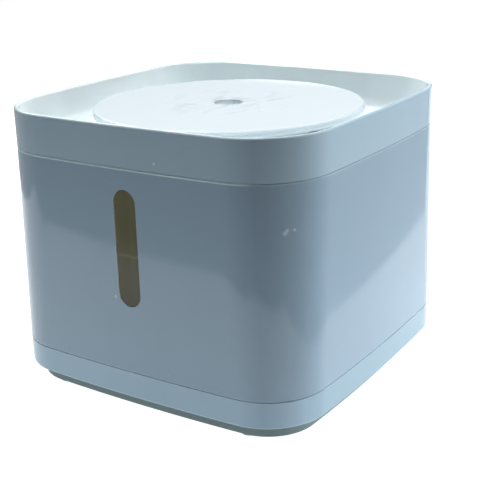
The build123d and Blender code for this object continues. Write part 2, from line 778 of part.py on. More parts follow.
# Flow plate: round disc on a notched skirt that stands on the cartridge
socket_bore = riser_radius + slide_gap
boss_bore = socket_bore + spout_wall
boss_z = plate_under_z - spout_boss_depth
rib_start = boss_bore + spout_boss_wall / 2
rib_end = skirt_radius - skirt_wall / 2
with BuildPart() as flow_plate:
    with BuildSketch(Plane.XY.offset(plate_under_z)):
        Circle(plate_radius)
    extrude(amount=plate_thickness)
    fillet(flow_plate.edges().group_by(Axis.Z)[-1], plate_round)
    with BuildSketch(Plane.XY.offset(filter_top_z)):
        ring_profile(skirt_radius, skirt_radius - skirt_wall)
    extrude(amount=plate_under_z - filter_top_z)
    with BuildSketch(Plane.XY.offset(boss_z)):
        Circle(boss_bore + spout_boss_wall)
    extrude(amount=spout_boss_depth)
    with BuildSketch(Plane.XY.offset(plate_under_z - plate_rib_depth)):
        with PolarLocations((rib_start + rib_end) / 2, plate_rib_count):
            Rectangle(rib_end - rib_start, plate_rib_width)
    extrude(amount=plate_rib_depth)
    with BuildSketch(Plane.XY.offset(filter_top_z)):
        with PolarLocations(skirt_radius, skirt_notches):
            Rectangle(4 * skirt_wall, skirt_notch_width)
    extrude(amount=skirt_notch_height, mode=Mode.SUBTRACT)
    with BuildSketch(Plane.XY.offset(boss_z)):
        Circle(boss_bore)
    extrude(amount=spout_boss_depth + plate_thickness, mode=Mode.SUBTRACT)
write(flow_plate, "flow_plate")

# Spout: socket over the riser, narrow throat and a bowl that opens level with the plate
spout_radius = boss_bore - shaft_gap
spout_corners = [
    (spout_throat_radius, plate_z - spout_bowl_depth),
    (spout_throat_radius, boss_z + riser_socket),
    (socket_bore, boss_z + riser_socket),
    (socket_bore, boss_z),
    (spout_radius, boss_z),
    (spout_radius, plate_z),
    (spout_mouth_radius, plate_z),
]
with BuildPart() as outlet_spout:
    with BuildSketch(Plane.XZ):
        with BuildLine():
            Polyline(*spout_corners)
            TangentArc(spout_corners[-1], spout_corners[0], tangent=(0, -1))
        make_face()
    revolve(axis=Axis.Z)
write(outlet_spout, "outlet_spout")
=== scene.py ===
"""Pet water fountain: finishes, a drip lip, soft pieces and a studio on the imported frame."""

from math import pi

import bmesh
import bpy
from mathutils import Matrix, Vector


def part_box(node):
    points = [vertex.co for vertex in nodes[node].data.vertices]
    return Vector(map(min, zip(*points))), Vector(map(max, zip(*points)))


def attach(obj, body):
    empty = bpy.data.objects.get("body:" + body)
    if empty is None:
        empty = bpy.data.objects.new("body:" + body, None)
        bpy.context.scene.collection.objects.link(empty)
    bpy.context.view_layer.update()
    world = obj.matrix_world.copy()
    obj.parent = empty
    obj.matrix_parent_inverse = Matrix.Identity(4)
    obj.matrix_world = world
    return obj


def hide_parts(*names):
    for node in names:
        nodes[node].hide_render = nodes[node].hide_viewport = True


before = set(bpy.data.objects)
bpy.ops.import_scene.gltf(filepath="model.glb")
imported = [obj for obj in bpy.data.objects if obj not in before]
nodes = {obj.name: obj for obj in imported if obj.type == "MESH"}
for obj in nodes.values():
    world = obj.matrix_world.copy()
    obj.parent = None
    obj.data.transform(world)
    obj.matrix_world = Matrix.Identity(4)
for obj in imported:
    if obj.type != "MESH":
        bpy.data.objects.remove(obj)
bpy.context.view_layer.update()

bl_info = {
    "name": "Pet Water Fountain",
    "version": (1, 0, 0),
    "blender": (4, 5, 0),
    "location": "3D View > Sidebar > Fountain",
    "description": "Dresses a square pet water fountain and sets up its studio",
    "category": "Add Mesh",
}

MM = 0.001


# Shader graph


class Signal:
    """A socket in a material's graph, with arithmetic that adds Math nodes."""

    def __init__(self, graph, socket):
        self.graph = graph
        self.socket = socket

    def _math(self, operation, *values):
        return self.graph.node("ShaderNodeMath", {"operation": operation}, *values)

    def __add__(self, other):
        return self._math("ADD", self, other)

    __radd__ = __add__

    def __sub__(self, other):
        return self._math("SUBTRACT", self, other)

    def __rsub__(self, other):
        return self._math("SUBTRACT", other, self)

    def __mul__(self, other):
        return self._math("MULTIPLY", self, other)

    __rmul__ = __mul__

    def __truediv__(self, other):
        return self._math("DIVIDE", self, other)

    def __gt__(self, other):
        return self._math("GREATER_THAN", self, other)

    def __lt__(self, other):
        return self._math("LESS_THAN", self, other)

    def __abs__(self):
        return self._math("ABSOLUTE", self)

    def clamped(self):
        """The value kept between 0 and 1."""
        return self.graph.node("ShaderNodeClamp", {}, self, 0.0, 1.0)

    def root(self):
        """Square root of the value."""
        return self._math("SQRT", self)

    def wave(self):
        """Sine of the value in radians."""
        return self._math("SINE", self)

    def fraction(self):
        """The part after the decimal point."""
        return self._math("FRACT", self)

    def higher(self, other):
        """The larger of two values."""
        return self._math("MAXIMUM", self, other)

    def swing(self, spread):
        """A value between 0 and 1, turned into one that swings about 0 over the spread."""
        return (self - 0.5) * spread

    def ramp(self, *stops):
        """Grey ramp through (position, value) stops."""
        return self.graph.node("ShaderNodeValToRGB", {"stops": stops}, self)


class Graph:
    """A node tree, filled node by node."""

    def __init__(self, tree):
        self.tree = tree

    def feed(self, socket, value):
        """Puts a signal or a constant on a socket, which for a colour is red, green and blue."""
        if isinstance(value, Signal):
            self.tree.links.new(value.socket, socket)
        elif socket.type == "RGBA":
            socket.default_value = (*value, 1)
        else:
            socket.default_value = value

    def add(self, kind, settings, *values, **named):
        """Adds a node: its settings or stops first, then the values or links of its sockets."""
        made = self.tree.nodes.new(kind)
        for name, value in settings.items():
            if name == "stops":
                self._set_stops(made.color_ramp.elements, value)
            else:
                setattr(made, name, value)
        sockets = [s for s in made.inputs if s.enabled]
        for socket, value in zip(sockets, values):
            self.feed(socket, value)
        for name, value in named.items():
            matches = [s for s in sockets if s.name == name.replace("_", " ")]
            self.feed(matches[0], value)
        return made

    def node(self, kind, settings, *values, output=0, **named):
        """Adds a node and gives one of its outputs, by its name or its number of those shown."""
        made = self.add(kind, settings, *values, **named)
        shown = [s for s in made.outputs if s.enabled]
        return Signal(self, made.outputs[output] if isinstance(output, str) else shown[output])

    def _set_stops(self, elements, stops):
        """Gives a new ramp, which has two elements, one for each (position, grey) stop."""
        for _ in stops[2:]:
            elements.new(0.5)
        for element, (position, grey) in zip(elements, stops):
            element.position = position
            element.color = (grey, grey, grey, 1)


class Finish(Graph):
    """A material with one Principled shader."""

    def __init__(self, name, colour, roughness, **constants):
        self.material = bpy.data.materials.new(name)
        self.material.use_nodes = True
        self.material.diffuse_color = (*colour, 1)
        super().__init__(self.material.node_tree)
        self.tree.nodes.clear()
        self.shader = self.add("ShaderNodeBsdfPrincipled", {})
        self.add("ShaderNodeOutputMaterial", {}, Signal(self, self.shader.outputs["BSDF"]))
        self.set(Base_Color=colour, Roughness=roughness, **constants)

    def set(self, **values):
        """Puts constants or signals on the shader's sockets, named with _ for a space."""
        for name, value in values.items():
            self.feed(self.shader.inputs[name.replace("_", " ")], value)

    def place(self, scale=(1, 1, 1)):
        """Object coordinates, scaled."""
        spot = self.node("ShaderNodeTexCoord", {}, output="Object")
        return self.node("ShaderNodeMapping", {"vector_type": "POINT"}, spot, Scale=scale)

    def axes(self, vector=None):
        """The x, y and z of a vector, by default the Object coordinates."""
        vector = vector or self.node("ShaderNodeTexCoord", {}, output="Object")
        split = self.add("ShaderNodeSeparateXYZ", {}, vector)
        return [Signal(self, socket) for socket in split.outputs]

    def radius(self):
        """Distance from the upright axis."""
        x, y, _ = self.axes()
        return (x * x + y * y).root()

    def vector_math(self, operation, *values, output="Vector"):
        """Arithmetic on vectors."""
        return self.node("ShaderNodeVectorMath", {"operation": operation}, *values, output=output)

    def facing(self):
        """How far the surface faces away from the upright axis, how far up and how far right."""
        normal = self.node("ShaderNodeNewGeometry", {}, output="Normal")
        flat = self.vector_math("MULTIPLY", self.place(), (1, 1, 0))
        away = self.vector_math("NORMALIZE", flat)
        outward = self.vector_math("DOT_PRODUCT", normal, away, output="Value")
        across, _, up = self.axes(normal)
        return outward, up, across

    def noise(self, scale, detail=3.0, roughness=0.5, vector=None, distortion=0.0):
        """Fractal noise between 0 and 1."""
        vector = vector or self.place()
        return self.node(
            "ShaderNodeTexNoise", {}, vector, Scale=scale, Detail=detail,
            Roughness=roughness, Distortion=distortion,
        )

    def cells(self, scale, feature="F1"):
        """Cell pattern, by default the distance to the nearest cell centre."""
        settings = {"feature": feature}
        return self.node(
            "ShaderNodeTexVoronoi", settings, self.place(), Scale=scale, output="Distance"
        )

    def blend(self, factor, first, second):
        """Colour between first and second."""
        return self.node("ShaderNodeMix", {"data_type": "RGBA"}, factor, first, second)

    def bump(self, height, strength, distance):
        """Surface relief from a height signal."""
        relief = self.node(
            "ShaderNodeBump", {}, Strength=strength, Distance=distance, Height=height
        )
        self.set(Normal=relief)


def toned(colour, factor, lift=0.0):
    """The colour with each channel times a factor, plus a lift, up to full brightness."""
    return [min(1.0, channel * factor + lift) for channel in colour]


# Finishes

# Tones on the gloss shell, and how far each one takes over: painted shade, painted highlight, and
# the plastic's own smudges and dust
# Painted shade on level inside faces against upright ones
SHELF_PAINTED_SHADE = (0.68, 0.76, 0.79)
# Painted shade where the skin bends round to the right, and how far it takes over
BEND_PAINTED_SHADE_TONE = (0.0, 0.02, 0.05)
BEND_PAINTED_SHADE_SHARE = 0.17
# Painted shade on faces that face right
RIGHT_PAINTED_SHADE_TONE = (0.1, 0.18, 0.2)
# Pale tone of the painted seam highlight and of the real rubbed scuffs
RUB_AND_PAINTED_HIGHLIGHT_TONE = (0.75, 0.95, 1.0)
SEAM_PAINTED_HIGHLIGHT_SHARE = 0.6
SCUFF_SHARE = 0.33
SHADE_TONE = (0.05, 0.07, 0.09)
SEAM_SHADE_SHARE = 0.35
SMUDGE_TONE = (0.2, 0.25, 0.3)
DRIFT_SHARE = 0.05
DRAW_SHARE = 0.06
DUST_TONE = (0.92, 0.93, 0.94)
DUST_SHARE = 0.12

# What each kind of wear adds to the roughness of the gloss shell
GRAIN_SWING = 0.05
DUST_DULL = 0.15
TOP_DULL = 0.3
SCUFF_DULL = 0.2

# Height of the band about a seam that its painted highlight and painted shade lie in
SEAM_BAND = 0.01

# Ripples on the plate, in radians per metre, and how far noise bends them
RIPPLE_RATE = 620.0
RIPPLE_WARP = 16.0

# Water line in the window: its place between bottom and top, reach, waver and strength
WATER_LEVEL = 0.45
WATER_LINE = 0.0011
WATER_WAVER = 0.002
WATER_SHARE = 0.4

# Pitch of the coil's wire, and how many traces cross the board each way
WIRE_PITCH = 0.0006
LANES_PER_METRE = 400.0
CROSSINGS_PER_METRE = 330.0


def seam_lines(finish, tone, seam, outward, across):
    """The skin with a painted highlight just under the height of a seam and painted shade just
    over it.
    """
    height = finish.axes()[2]
    rise = (height - seam) / SEAM_BAND + 0.5
    side = outward.ramp((0.3, 0.0), (0.6, 1.0)) * across.ramp((0.15, 1.0), (0.5, 0.2))
    # Painted highlight under the seam and painted shade over it
    under = rise.ramp((0.39, 0.0), (0.42, 1.0), (0.495, 1.0), (0.5, 0.0)) * side
    over = rise.ramp((0.5, 0.0), (0.505, 1.0), (0.55, 1.0), (0.58, 0.0)) * side
    tone = finish.blend(under * SEAM_PAINTED_HIGHLIGHT_SHARE, tone, RUB_AND_PAINTED_HIGHLIGHT_TONE)
    return finish.blend(over * SEAM_SHADE_SHARE, tone, SHADE_TONE)


def scuffed(finish, tone, rough, middle, reach):
    """The tone and roughness with a pale rubbed mark round a middle, out to its reach."""
    gap = finish.vector_math("DISTANCE", finish.place(), middle, output="Value")
    rub = (gap / reach).ramp((0.3, 1.0), (1.0, 0.0))
    return finish.blend(rub * SCUFF_SHARE, tone, RUB_AND_PAINTED_HIGHLIGHT_TONE), rough + rub * SCUFF_DULL


def glossy_shell(
    name, shaded_outside, inside, roughness,
    edge=0.35, seam=0.0, scuffs=(), shine=0.5, right_painted_shade=0.0,
):
    """Injection-moulded gloss plastic with orange peel and dust, greyer outside than inside: the
    outside colour is the plastic's bluish tint darkened by painted shade.

    Roundings that face up get a painted highlight, lightening from the outside colour towards
    the inside one by edge, less on the sides that face right. The skin gets painted shade where
    it bends round to the right, and by the given share where it faces right. Level faces on the
    inside get painted shade against upright ones. A seam is the height of the joint between tank
    and tray, with a painted highlight under it and painted shade over it, and each scuff is the
    middle of a pale rubbed mark and its reach.
    """
    finish = Finish(name, shaded_outside, roughness, Specular_IOR_Level=shine)
    outward, up, across = finish.facing()
    # Painted highlight: roundings that face up lighten towards the inside colour by edge, less
    # where they face right
    top = up.ramp((0.03, 0.0), (0.25, 1.0)) * across.ramp((0.15, 1.0), (0.5, 0.15))
    skin = outward.ramp((0.05, 0.0), (0.35, 1.0)) * (1 - top * edge)
    # Painted shade: level faces on the inside are darker than upright ones
    painted_shade_shelf = [channel * dim for channel, dim in zip(inside, SHELF_PAINTED_SHADE)]
    lining = finish.blend(up.ramp((0.4, 0.0), (0.9, 1.0)), inside, painted_shade_shelf)
    # Painted shade where the skin bends round to the right
    painted_bend_shade = across.ramp((0.1, 0.0), (0.45, 1.0), (0.75, 0.0))
    shaded_outside_tone = finish.blend(painted_bend_shade * BEND_PAINTED_SHADE_SHARE, shaded_outside, BEND_PAINTED_SHADE_TONE)
    # Painted shade on faces that face right
    if right_painted_shade:
        right = across.ramp((0.9, 0.0), (0.99, 1.0))
        shaded_outside_tone = finish.blend(right * right_painted_shade, shaded_outside_tone, RIGHT_PAINTED_SHADE_TONE)
    # Painted shade: the outer skin takes the darker outside colour, faces within take the pale
    # inside one
    tone = finish.blend(skin, lining, shaded_outside_tone)
    if seam:
        tone = seam_lines(finish, tone, seam, outward, across)
    drift = finish.noise(9.0, detail=2.0) * DRIFT_SHARE
    marks = finish.noise(45.0, detail=2.0, vector=finish.place(scale=(1, 1, 0.03)))
    drawn = marks.ramp((0.45, 0.0), (0.75, 1.0)) * DRAW_SHARE
    tone = finish.blend(drift + drawn, tone, SMUDGE_TONE)
    dust = (finish.cells(90.0) < 0.035) * (finish.noise(14.0, detail=1.0) > 0.62)
    tone = finish.blend(dust * DUST_SHARE, tone, DUST_TONE)
    grain = finish.noise(38.0, detail=4.0).swing(GRAIN_SWING)
    rough = roughness + grain + dust * DUST_DULL + skin * top * TOP_DULL
    for middle, reach in scuffs:
        tone, rough = scuffed(finish, tone, rough, middle, reach)
    finish.set(Base_Color=tone, Roughness=rough)
    finish.bump(finish.noise(260.0, detail=2.0), strength=0.04, distance=0.0002)
    return finish.material


def wet_plate(name, colour, roughness):
    """Gloss plastic under running water: ripples and darker streaks that fade away from the
    spout.

    The spout's throat and faces that stand upright get painted light, brighter than the rest.
    """
    finish = Finish(name, colour, roughness)
    radius = finish.radius()
    near = radius.ramp((0.006, 1.0), (0.022, 0.45), (0.045, 0.0))
    flow = finish.place(scale=(1, 0.5, 1))
    streaks = finish.noise(95.0, roughness=0.6, vector=flow, distortion=1.2)
    dark_streaks = streaks.ramp((0.5, 0.0), (0.66, 1.0)) * near
    up = finish.facing()[1]
    # Painted light: the shaded throat of the spout and the plate's upright edge are made brighter
    painted_light_throat = radius.ramp((0.0066, 1.0), (0.0078, 0.0))
    upright = up.ramp((0.2, 0.75), (0.9, 0.0))
    tone = finish.blend(painted_light_throat.higher(upright), colour, toned(colour, 1.28))
    grain = finish.noise(38.0, detail=4.0).swing(GRAIN_SWING)
    finish.set(
        Base_Color=finish.blend(dark_streaks * 0.85, tone, toned(colour, 0.72)),
        Roughness=roughness + grain,
    )
    ripples = (radius * RIPPLE_RATE + finish.noise(70.0) * RIPPLE_WARP).wave()
    finish.bump(ripples * near * 0.3 + dark_streaks, strength=0.22, distance=0.0003)
    return finish.material


def moulded_matte(name, colour, roughness=0.55, grain=900.0, mottle=0.12):
    """Matte plastic with a fine spark-eroded grain and a slightly blotchy tone."""
    finish = Finish(name, colour, roughness)
    blotches = finish.noise(45.0, detail=4.0, roughness=0.6)
    finish.set(
        Base_Color=finish.blend(blotches, toned(colour, 1 - mottle), toned(colour, 1 + mottle)),
        Roughness=roughness + finish.noise(160.0).swing(0.15),
    )
    finish.bump(finish.noise(grain, roughness=0.6), strength=0.25, distance=0.0002)
    return finish.material


def smoked_plastic(name, colour):
    """Polished smoked lens: streaky from the moulding gate, deeper below, with a water line."""
    finish = Finish(
        name, colour, 0.12, Transmission_Weight=0.35, IOR=1.49, Specular_IOR_Level=0.25
    )
    streaks = finish.noise(150.0, vector=finish.place(scale=(1, 1, 0.02)))
    low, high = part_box("window_lens")
    span = high.z - low.z
    height = finish.axes()[2]
    tone = finish.blend(streaks.ramp((0.35, 0.0), (0.65, 1.0)), colour, toned(colour, 1.25))
    depth = ((height - low.z) / span).ramp((0.0, 1.0), (0.45, 0.45), (0.9, 0.0))
    tone = finish.blend(depth, tone, toned(colour, 0.6))
    level = low.z + span * WATER_LEVEL
    away = abs(height - level + streaks.swing(WATER_WAVER))
    line = (1 - away / WATER_LINE).clamped()
    tone = finish.blend(line * WATER_SHARE, tone, toned(colour, 2.0))
    finish.set(Base_Color=tone, Roughness=0.1 + finish.noise(60.0) * 0.12)
    return finish.material


def soft_rubber(name, colour, roughness=0.75):
    """Matt rubber or silicone with a talc-like bloom."""
    finish = Finish(name, colour, roughness)
    bloom = finish.noise(70.0, detail=5.0, roughness=0.65)
    powder = bloom.ramp((0.45, 0.0), (0.8, 1.0))
    finish.set(
        Base_Color=finish.blend(powder, colour, toned(colour, 1.5, lift=0.02)),
        Roughness=roughness + bloom.swing(0.2),
    )
    finish.bump(finish.noise(600.0), strength=0.3, distance=0.0002)
    return finish.material


def open_foam(name, colour):
    """Reticulated filter foam: painted shade in the pores between lighter strands."""
    finish = Finish(name, colour, 0.95, Sheen_Weight=0.15)
    strands = finish.cells(900.0, "DISTANCE_TO_EDGE").ramp((0.0, 1.0), (0.16, 0.0))
    # Painted shade: the pores are made darker than the strands
    finish.set(Base_Color=finish.blend(strands, toned(colour, 0.25), colour))
    finish.bump(strands + finish.noise(400.0) * 0.4, strength=0.9, distance=0.0008)
    return finish.material


def felted_cotton(name, colour):
    """Pressed cotton: fine crossing fibres with soft lumps."""
    finish = Finish(name, colour, 0.95, Sheen_Weight=0.3)
    fibres = finish.noise(700.0, detail=4.0, roughness=0.7, distortion=2.5)
    lumps = finish.noise(90.0)
    strands = fibres.ramp((0.35, 0.0), (0.6, 1.0))
    finish.set(Base_Color=finish.blend(strands, toned(colour, 0.82), colour))
    finish.bump(fibres + lumps * 0.8, strength=0.6, distance=0.0006)
    return finish.material


def carbon_grains(name, colour):
    """Packed activated carbon: facets of many small grains with a dusty sparkle."""
    finish = Finish(name, colour, 0.8)
    edges = finish.cells(520.0, "DISTANCE_TO_EDGE")
    sparkle = finish.noise(260.0, detail=2.0)
    dusty = sparkle.ramp((0.4, 0.0), (0.75, 1.0))
    finish.set(
        Base_Color=finish.blend(dusty, colour, toned(colour, 4, lift=0.02)),
        Roughness=0.55 + sparkle * 0.4,
    )
    finish.bump(edges.ramp((0.0, 0.0), (0.25, 1.0)), strength=1.0, distance=0.0008)
    return finish.material


def wound_copper(name, colour):
    """Enamelled wire wound in a flat spiral about the fountain's axis, with painted shade between
    the turns.
    """
    finish = Finish(name, colour, 0.3, Metallic=0.85)
    turns = (finish.radius() * (2 * pi / WIRE_PITCH)).wave() * 0.5 + 0.5
    # Painted shade in the grooves between the turns
    finish.set(Base_Color=finish.blend(turns, toned(colour, 0.35), colour))
    finish.bump(turns, strength=0.7, distance=0.0003)
    return finish.material


def sintered_ferrite(name, colour):
    """Ground ferrite: dull, dense and slightly speckled."""
    finish = Finish(name, colour, 0.5, Metallic=0.3)
    speckle = finish.noise(1200.0, detail=2.0)
    specks = speckle.ramp((0.5, 0.0), (0.7, 1.0))
    finish.set(Base_Color=finish.blend(specks, colour, toned(colour, 1.8)))
    finish.bump(speckle, strength=0.2, distance=0.0001)
    return finish.material


def plated_steel(name, colour, roughness=0.32):
    """Zinc-plated or ground steel with fine turning marks."""
    finish = Finish(name, colour, roughness, Metallic=1.0)
    marks = finish.noise(900.0, vector=finish.place(scale=(1, 1, 0.1)))
    finish.set(
        Base_Color=finish.blend(finish.noise(120.0), toned(colour, 0.8), colour),
        Roughness=roughness + marks.swing(0.25),
    )
    finish.bump(marks, strength=0.08, distance=0.0001)
    return finish.material


def circuit_board(name, colour):
    """Solder-masked board: lighter traces on a grid over the green laminate."""
    finish = Finish(name, colour, 0.35)
    x, y, _ = finish.axes()
    warp = finish.noise(60.0, detail=1.0) * 3.0
    lane = (x * LANES_PER_METRE + warp).fraction() < 0.28
    cross = (y * CROSSINGS_PER_METRE + warp).fraction() < 0.2
    traces = lane.higher(cross)
    finish.set(Base_Color=finish.blend(traces * 0.7, colour, toned(colour, 1.9, lift=0.02)))
    finish.bump(traces, strength=0.25, distance=0.0001)
    return finish.material


# Mesh helpers

MERGE_DISTANCE = 0.000002


def dress(names, material):
    """Gives each named CAD node one material."""
    for name in names:
        slots = nodes[name].data.materials
        slots.clear()
        slots.append(material)


def settle(name, bm, body, slot, material, *replaced):
    """Turns a bmesh into a smooth piece that rides on a body and may stand for CAD nodes."""
    bmesh.ops.remove_doubles(bm, verts=bm.verts, dist=MERGE_DISTANCE)
    bmesh.ops.recalc_face_normals(bm, faces=bm.faces)
    mesh = bpy.data.meshes.new(name)
    bm.to_mesh(mesh)
    bm.free()
    for face in mesh.polygons:
        face.use_smooth = True
    mesh.materials.append(material)
    piece = bpy.data.objects.new(name, mesh)
    bpy.context.scene.collection.objects.link(piece)
    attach(piece, body)
    if replaced:
        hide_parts(*replaced)
    return piece


def revolved(bm, outline, segments):
    """Spins a closed (radius, height) outline once about +Z."""
    verts = [bm.verts.new((radius, 0, height)) for radius, height in outline]
    edges = [bm.edges.new(pair) for pair in zip(verts, verts[1:] + verts[:1])]
    bmesh.ops.spin(
        bm, geom=verts + edges, cent=(0, 0, 0), axis=(0, 0, 1), dvec=(0, 0, 0), angle=2 * pi,
        steps=segments, use_merge=True, use_normal_flip=False, use_duplicate=False,
    )


def softened(name, node, body, slot, material, grain, relief, lumps):
    """A soft piece in a node's place, evenly remeshed, its skin sunk in lumps by up to relief."""
    bm = bmesh.new()
    bm.from_mesh(nodes[node].data)
    piece = settle(name, bm, body, slot, material, node)
    even = piece.modifiers.new("even_mesh", "REMESH")
    even.mode = "VOXEL"
    even.voxel_size = grain
    even.use_smooth_shade = True
    cloud = bpy.data.textures.new(name + "_cloud", "CLOUDS")
    cloud.noise_scale = lumps
    cloud.noise_depth = 2
    sink = piece.modifiers.new("rumple", "DISPLACE")
    sink.texture = cloud
    sink.texture_coords = "LOCAL"
    sink.mid_level = 1.0
    sink.strength = relief
    return piece


# Properties


def colour_property(name, description, default):
    """A colour that the panel shows."""
    return bpy.props.FloatVectorProperty(
        name=name, description=description, default=default,
        size=3, min=0.0, max=1.0, subtype="COLOR",
    )


class FountainColours(bpy.types.PropertyGroup):
    """Colours that a user would change."""

    # Tank, tray and base colours: the plastic's bluish tint darkened by painted shade; the basin
    # colour is the same plastic's own pale tone
    tank: colour_property("Tank", "Outside of the tank", (0.249, 0.355, 0.447))
    tray: colour_property("Tray", "Outside of the drinking tray", (0.331, 0.455, 0.545))
    band: colour_property("Base", "Outside of the base", (0.350, 0.492, 0.600))
    basin: colour_property("Basin", "Water side of the tank and tray", (0.94, 0.99, 0.995))
    plate: colour_property("Plate", "Flow plate and its spout", (0.64, 0.716, 0.758))
    plinth: colour_property("Plinth", "Matte plastic under the base", (0.15, 0.21, 0.215))
    lens: colour_property("Lens", "Smoked plastic of the level window", (0.155, 0.15, 0.075))
    pump: colour_property("Pump", "Pump housing and intake cage", (0.045, 0.05, 0.055))
    cartridge: colour_property("Cartridge", "Filter cup, cover and impeller", (0.62, 0.66, 0.67))
    foam: colour_property("Foam", "Foam cap over the intake", (0.09, 0.10, 0.11))
    silicone: colour_property("Silicone", "Riser, gasket and bushes", (0.55, 0.58, 0.58))


class FountainSizes(bpy.types.PropertyGroup):
    """Size of the drip lip, relief of the soft pieces and roughness of the shell."""

    lip_depth: bpy.props.FloatProperty(
        name="Drip lip depth", description="How far the lip hangs below the flow plate",
        default=0.0014, min=0.0005, max=0.004, unit="LENGTH",
    )
    lip_width: bpy.props.FloatProperty(
        name="Drip lip width", description="Thickness of the lip under the plate's edge",
        default=0.0016, min=0.0008, max=0.005, unit="LENGTH",
    )
    foam_relief: bpy.props.FloatProperty(
        name="Foam relief", description="How far the foam's skin sinks in",
        default=0.0004, min=0.0, max=0.002, unit="LENGTH",
    )
    felt_relief: bpy.props.FloatProperty(
        name="Felt relief", description="How far the cotton pad's skin sinks in",
        default=0.0005, min=0.0, max=0.002, unit="LENGTH",
    )
    gloss: bpy.props.FloatProperty(
        name="Shell roughness", description="Roughness of the gloss plastic",
        default=0.08, min=0.0, max=1.0, subtype="FACTOR",
    )


class FountainStage(bpy.types.PropertyGroup):
    """Floor and camera."""

    floor: colour_property("Floor", "Pale studio paper", (0.35, 0.35, 0.35))
    glow: bpy.props.FloatProperty(
        name="Glow", description="Light that comes up through the paper",
        default=0.97, min=0.0, max=3.0,
    )
    focal_length: bpy.props.FloatProperty(
        name="Focal length", description="Camera lens", default=76.65, min=10.0, unit="CAMERA"
    )


# Operators


class FOUNTAIN_OT_shell(bpy.types.Operator):
    """Gloss plastic on the base, tank, tray, basket and flow plate"""

    bl_idname = "fountain.shell"
    bl_label = "Shell"

    tank_scuffs = (
        ((0.0826, -0.0806, 0.1082), 0.0015),
        ((0.0833, -0.0798, 0.1095), 0.0013),
        ((0.0855, -0.0770, 0.1095), 0.0011),
        ((-0.0092, -0.0940, 0.0643), 0.0012),
    )
    tray_scuffs = (((0.0195, -0.0938, 0.1364), 0.0012),)

    def execute(self, context):
        look = context.scene.fountain_colours
        gloss = context.scene.fountain_sizes.gloss
        # The base gets painted shade on its faces that face right
        base = glossy_shell("base_gloss", look.band, look.basin, gloss, shine=0.3, right_painted_shade=0.3)
        dress(["base_housing"], base)
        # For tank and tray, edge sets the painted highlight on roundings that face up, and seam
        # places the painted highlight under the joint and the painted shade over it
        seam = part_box("tank_shell")[1].z
        tank = glossy_shell(
            "tank_gloss", look.tank, look.basin, gloss,
            edge=0.6, seam=seam, scuffs=self.tank_scuffs,
        )
        dress(["tank_shell"], tank)
        tray = glossy_shell(
            "tray_gloss", look.tray, look.basin, gloss,
            edge=0.45, seam=seam, scuffs=self.tray_scuffs,
        )
        dress(["drinking_tray", "filter_basket"], tray)
        dress(["flow_plate", "outlet_spout"], wet_plate("plate_gloss", look.plate, gloss))
        return {"FINISHED"}


class FOUNTAIN_OT_drip_lip(bpy.types.Operator):
    """Lip moulded under the flow plate's edge, where the water lets go"""

    bl_idname = "fountain.drip_lip"
    bl_label = "Drip lip"

    plate_thickness = 0.0024
    overlap = 0.0004
    rounding = 0.0006
    tolerance = 0.0001
    spin_segments = 160
    rounding_segments = 3

    def rims(self, bm, height):
        """The edges that run round the ring at a height."""
        for edge in bm.edges:
            start, end = (vert.co for vert in edge.verts)
            level = all(abs(point.z - height) < self.tolerance for point in (start, end))
            if level and abs(start.length - end.length) < self.tolerance:
                yield edge

    def execute(self, context):
        sizes = context.scene.fountain_sizes
        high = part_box("flow_plate")[1]
        outer = high.x
        inner = outer - sizes.lip_width
        under = high.z - self.plate_thickness
        bottom = under - sizes.lip_depth
        top = under + self.overlap
        bm = bmesh.new()
        outline = [(outer, bottom), (outer, top), (inner, top), (inner, bottom)]
        revolved(bm, outline, self.spin_segments)
        bmesh.ops.bevel(
            bm, geom=list(self.rims(bm, bottom)), offset=self.rounding,
            segments=self.rounding_segments, profile=0.5, affect="EDGES", material=-1,
        )
        plastic = nodes["flow_plate"].data.materials[0]
        settle("plate_drip_lip", bm, "plate", "shell_plastic", plastic)
        return {"FINISHED"}


class FOUNTAIN_OT_plinth(bpy.types.Operator):
    """Matte plinth with its rubber feet and screws"""

    bl_idname = "fountain.plinth"
    bl_label = "Plinth"

    rubber = (0.03, 0.03, 0.03)
    zinc = (0.60, 0.61, 0.62)

    def execute(self, context):
        look = context.scene.fountain_colours
        dress(["base_plate"], moulded_matte("plinth_grain", look.plinth))
        dress(["rubber_feet"], soft_rubber("foot_rubber", self.rubber))
        dress(["base_screws"], plated_steel("screw_zinc", self.zinc))
        return {"FINISHED"}


class FOUNTAIN_OT_window(bpy.types.Operator):
    """Smoked level window and its gasket"""

    bl_idname = "fountain.window"
    bl_label = "Level window"

    def execute(self, context):
        look = context.scene.fountain_colours
        dress(["window_lens"], smoked_plastic("lens_smoke", look.lens))
        dress(["window_gasket"], soft_rubber("gasket_silicone", look.silicone, roughness=0.5))
        return {"FINISHED"}


class FOUNTAIN_OT_electronics(bpy.types.Operator):
    """Coils, ferrite, board and power inlet in the base"""

    bl_idname = "fountain.electronics"
    bl_label = "Electronics"

    copper = (0.72, 0.30, 0.12)
    ferrite = (0.05, 0.05, 0.055)
    solder_mask = (0.02, 0.13, 0.06)
    epoxy = (0.02, 0.02, 0.022)
    steel = (0.62, 0.63, 0.64)

    def execute(self, context):
        dress(["transmit_coil", "receiver_coil"], wound_copper("coil_windings", self.copper))
        ferrite = sintered_ferrite("ferrite_grey", self.ferrite)
        dress(["ferrite_plate", "rotor_magnet"], ferrite)
        dress(["driver_board"], circuit_board("board_mask", self.solder_mask))
        epoxy = moulded_matte("component_epoxy", self.epoxy, roughness=0.5)
        dress(["board_components"], epoxy)
        steel = plated_steel("inlet_steel", self.steel, roughness=0.28)
        dress(["board_screws", "power_inlet"], steel)
        return {"FINISHED"}


